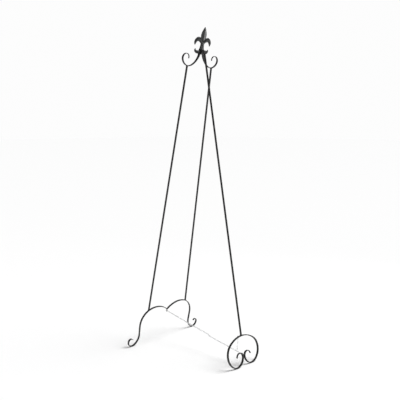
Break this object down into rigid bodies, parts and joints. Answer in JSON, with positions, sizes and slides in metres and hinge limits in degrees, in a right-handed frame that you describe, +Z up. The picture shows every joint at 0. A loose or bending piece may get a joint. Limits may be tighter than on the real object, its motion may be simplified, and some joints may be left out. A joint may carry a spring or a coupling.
{
  "type": "display easel",
  "caption": "Folding three-legged wrought-iron floor easel with scrolled feet, a fleur-de-lis finial, a hinged back leg and a safety chain.",
  "frame": {"origin": "on the floor, at the middle of the footprint's width and depth", "axes": "+Z up, -Y the side that shows the picture, +Y the back leg, +X to the right of a person facing it"},
  "size_m": [0.472, 0.56, 1.5235],
  "materials": {
    "black_paint": "satin black paint over forged iron",
    "cast_paint": "satin black paint over a casting",
    "hinge_hardware": "satin black paint over zinc-plated fasteners",
    "chain_steel": "bright zinc plating"
  },
  "bodies": {
    "front_frame": {"foot_scroll_right": "black_paint", "foot_scroll_left": "black_paint", "top_scroll_right": "black_paint", "top_scroll_left": "black_paint", "front_leg_right": "black_paint", "front_leg_left": "black_paint", "finial": "cast_paint", "hinge_bracket": "black_paint", "hinge_bolt": "hinge_hardware", "hinge_nut": "hinge_hardware", "hinge_washers": "hinge_hardware", "chain_eye_front": "black_paint"},
    "rear_leg": {"back_leg": "black_paint", "hinge_barrel": "black_paint", "heart_scroll_right": "black_paint", "heart_scroll_left": "black_paint", "curl_tie": "black_paint", "chain_eye_rear": "black_paint", "chain_eye_tail": "black_paint", "chain_tail": "chain_steel"},
    "chain_front_length": {"chain_front": "chain_steel"},
    "chain_rear_length": {"chain_rear": "chain_steel"}
  },
  "joints": [
    {"name": "leg_fold", "type": "hinge", "parent": "front_frame", "child": "rear_leg", "pos_m": [0, 0.01815, 1.412], "axis": [-1, 0, 0], "range_deg": [0, 20]},
    {"name": "chain_front_swing", "type": "hinge", "parent": "front_frame", "child": "chain_front_length", "pos_m": [0, -0.24825, 0.14192], "axis": [-1, 0, 0], "range_deg": [0, 74.44]},
    {"name": "chain_rear_swing", "type": "hinge", "parent": "rear_leg", "child": "chain_rear_length", "pos_m": [0, 0.25793, 0.05051], "axis": [1, 0, 0], "range_deg": [0, 119.64]}
  ],
  "couplings": [
    {"joint": "chain_front_swing", "follows": "leg_fold", "ratio": 3.7195},
    {"joint": "chain_rear_swing", "follows": "leg_fold", "ratio": 5.9795}
  ]
}
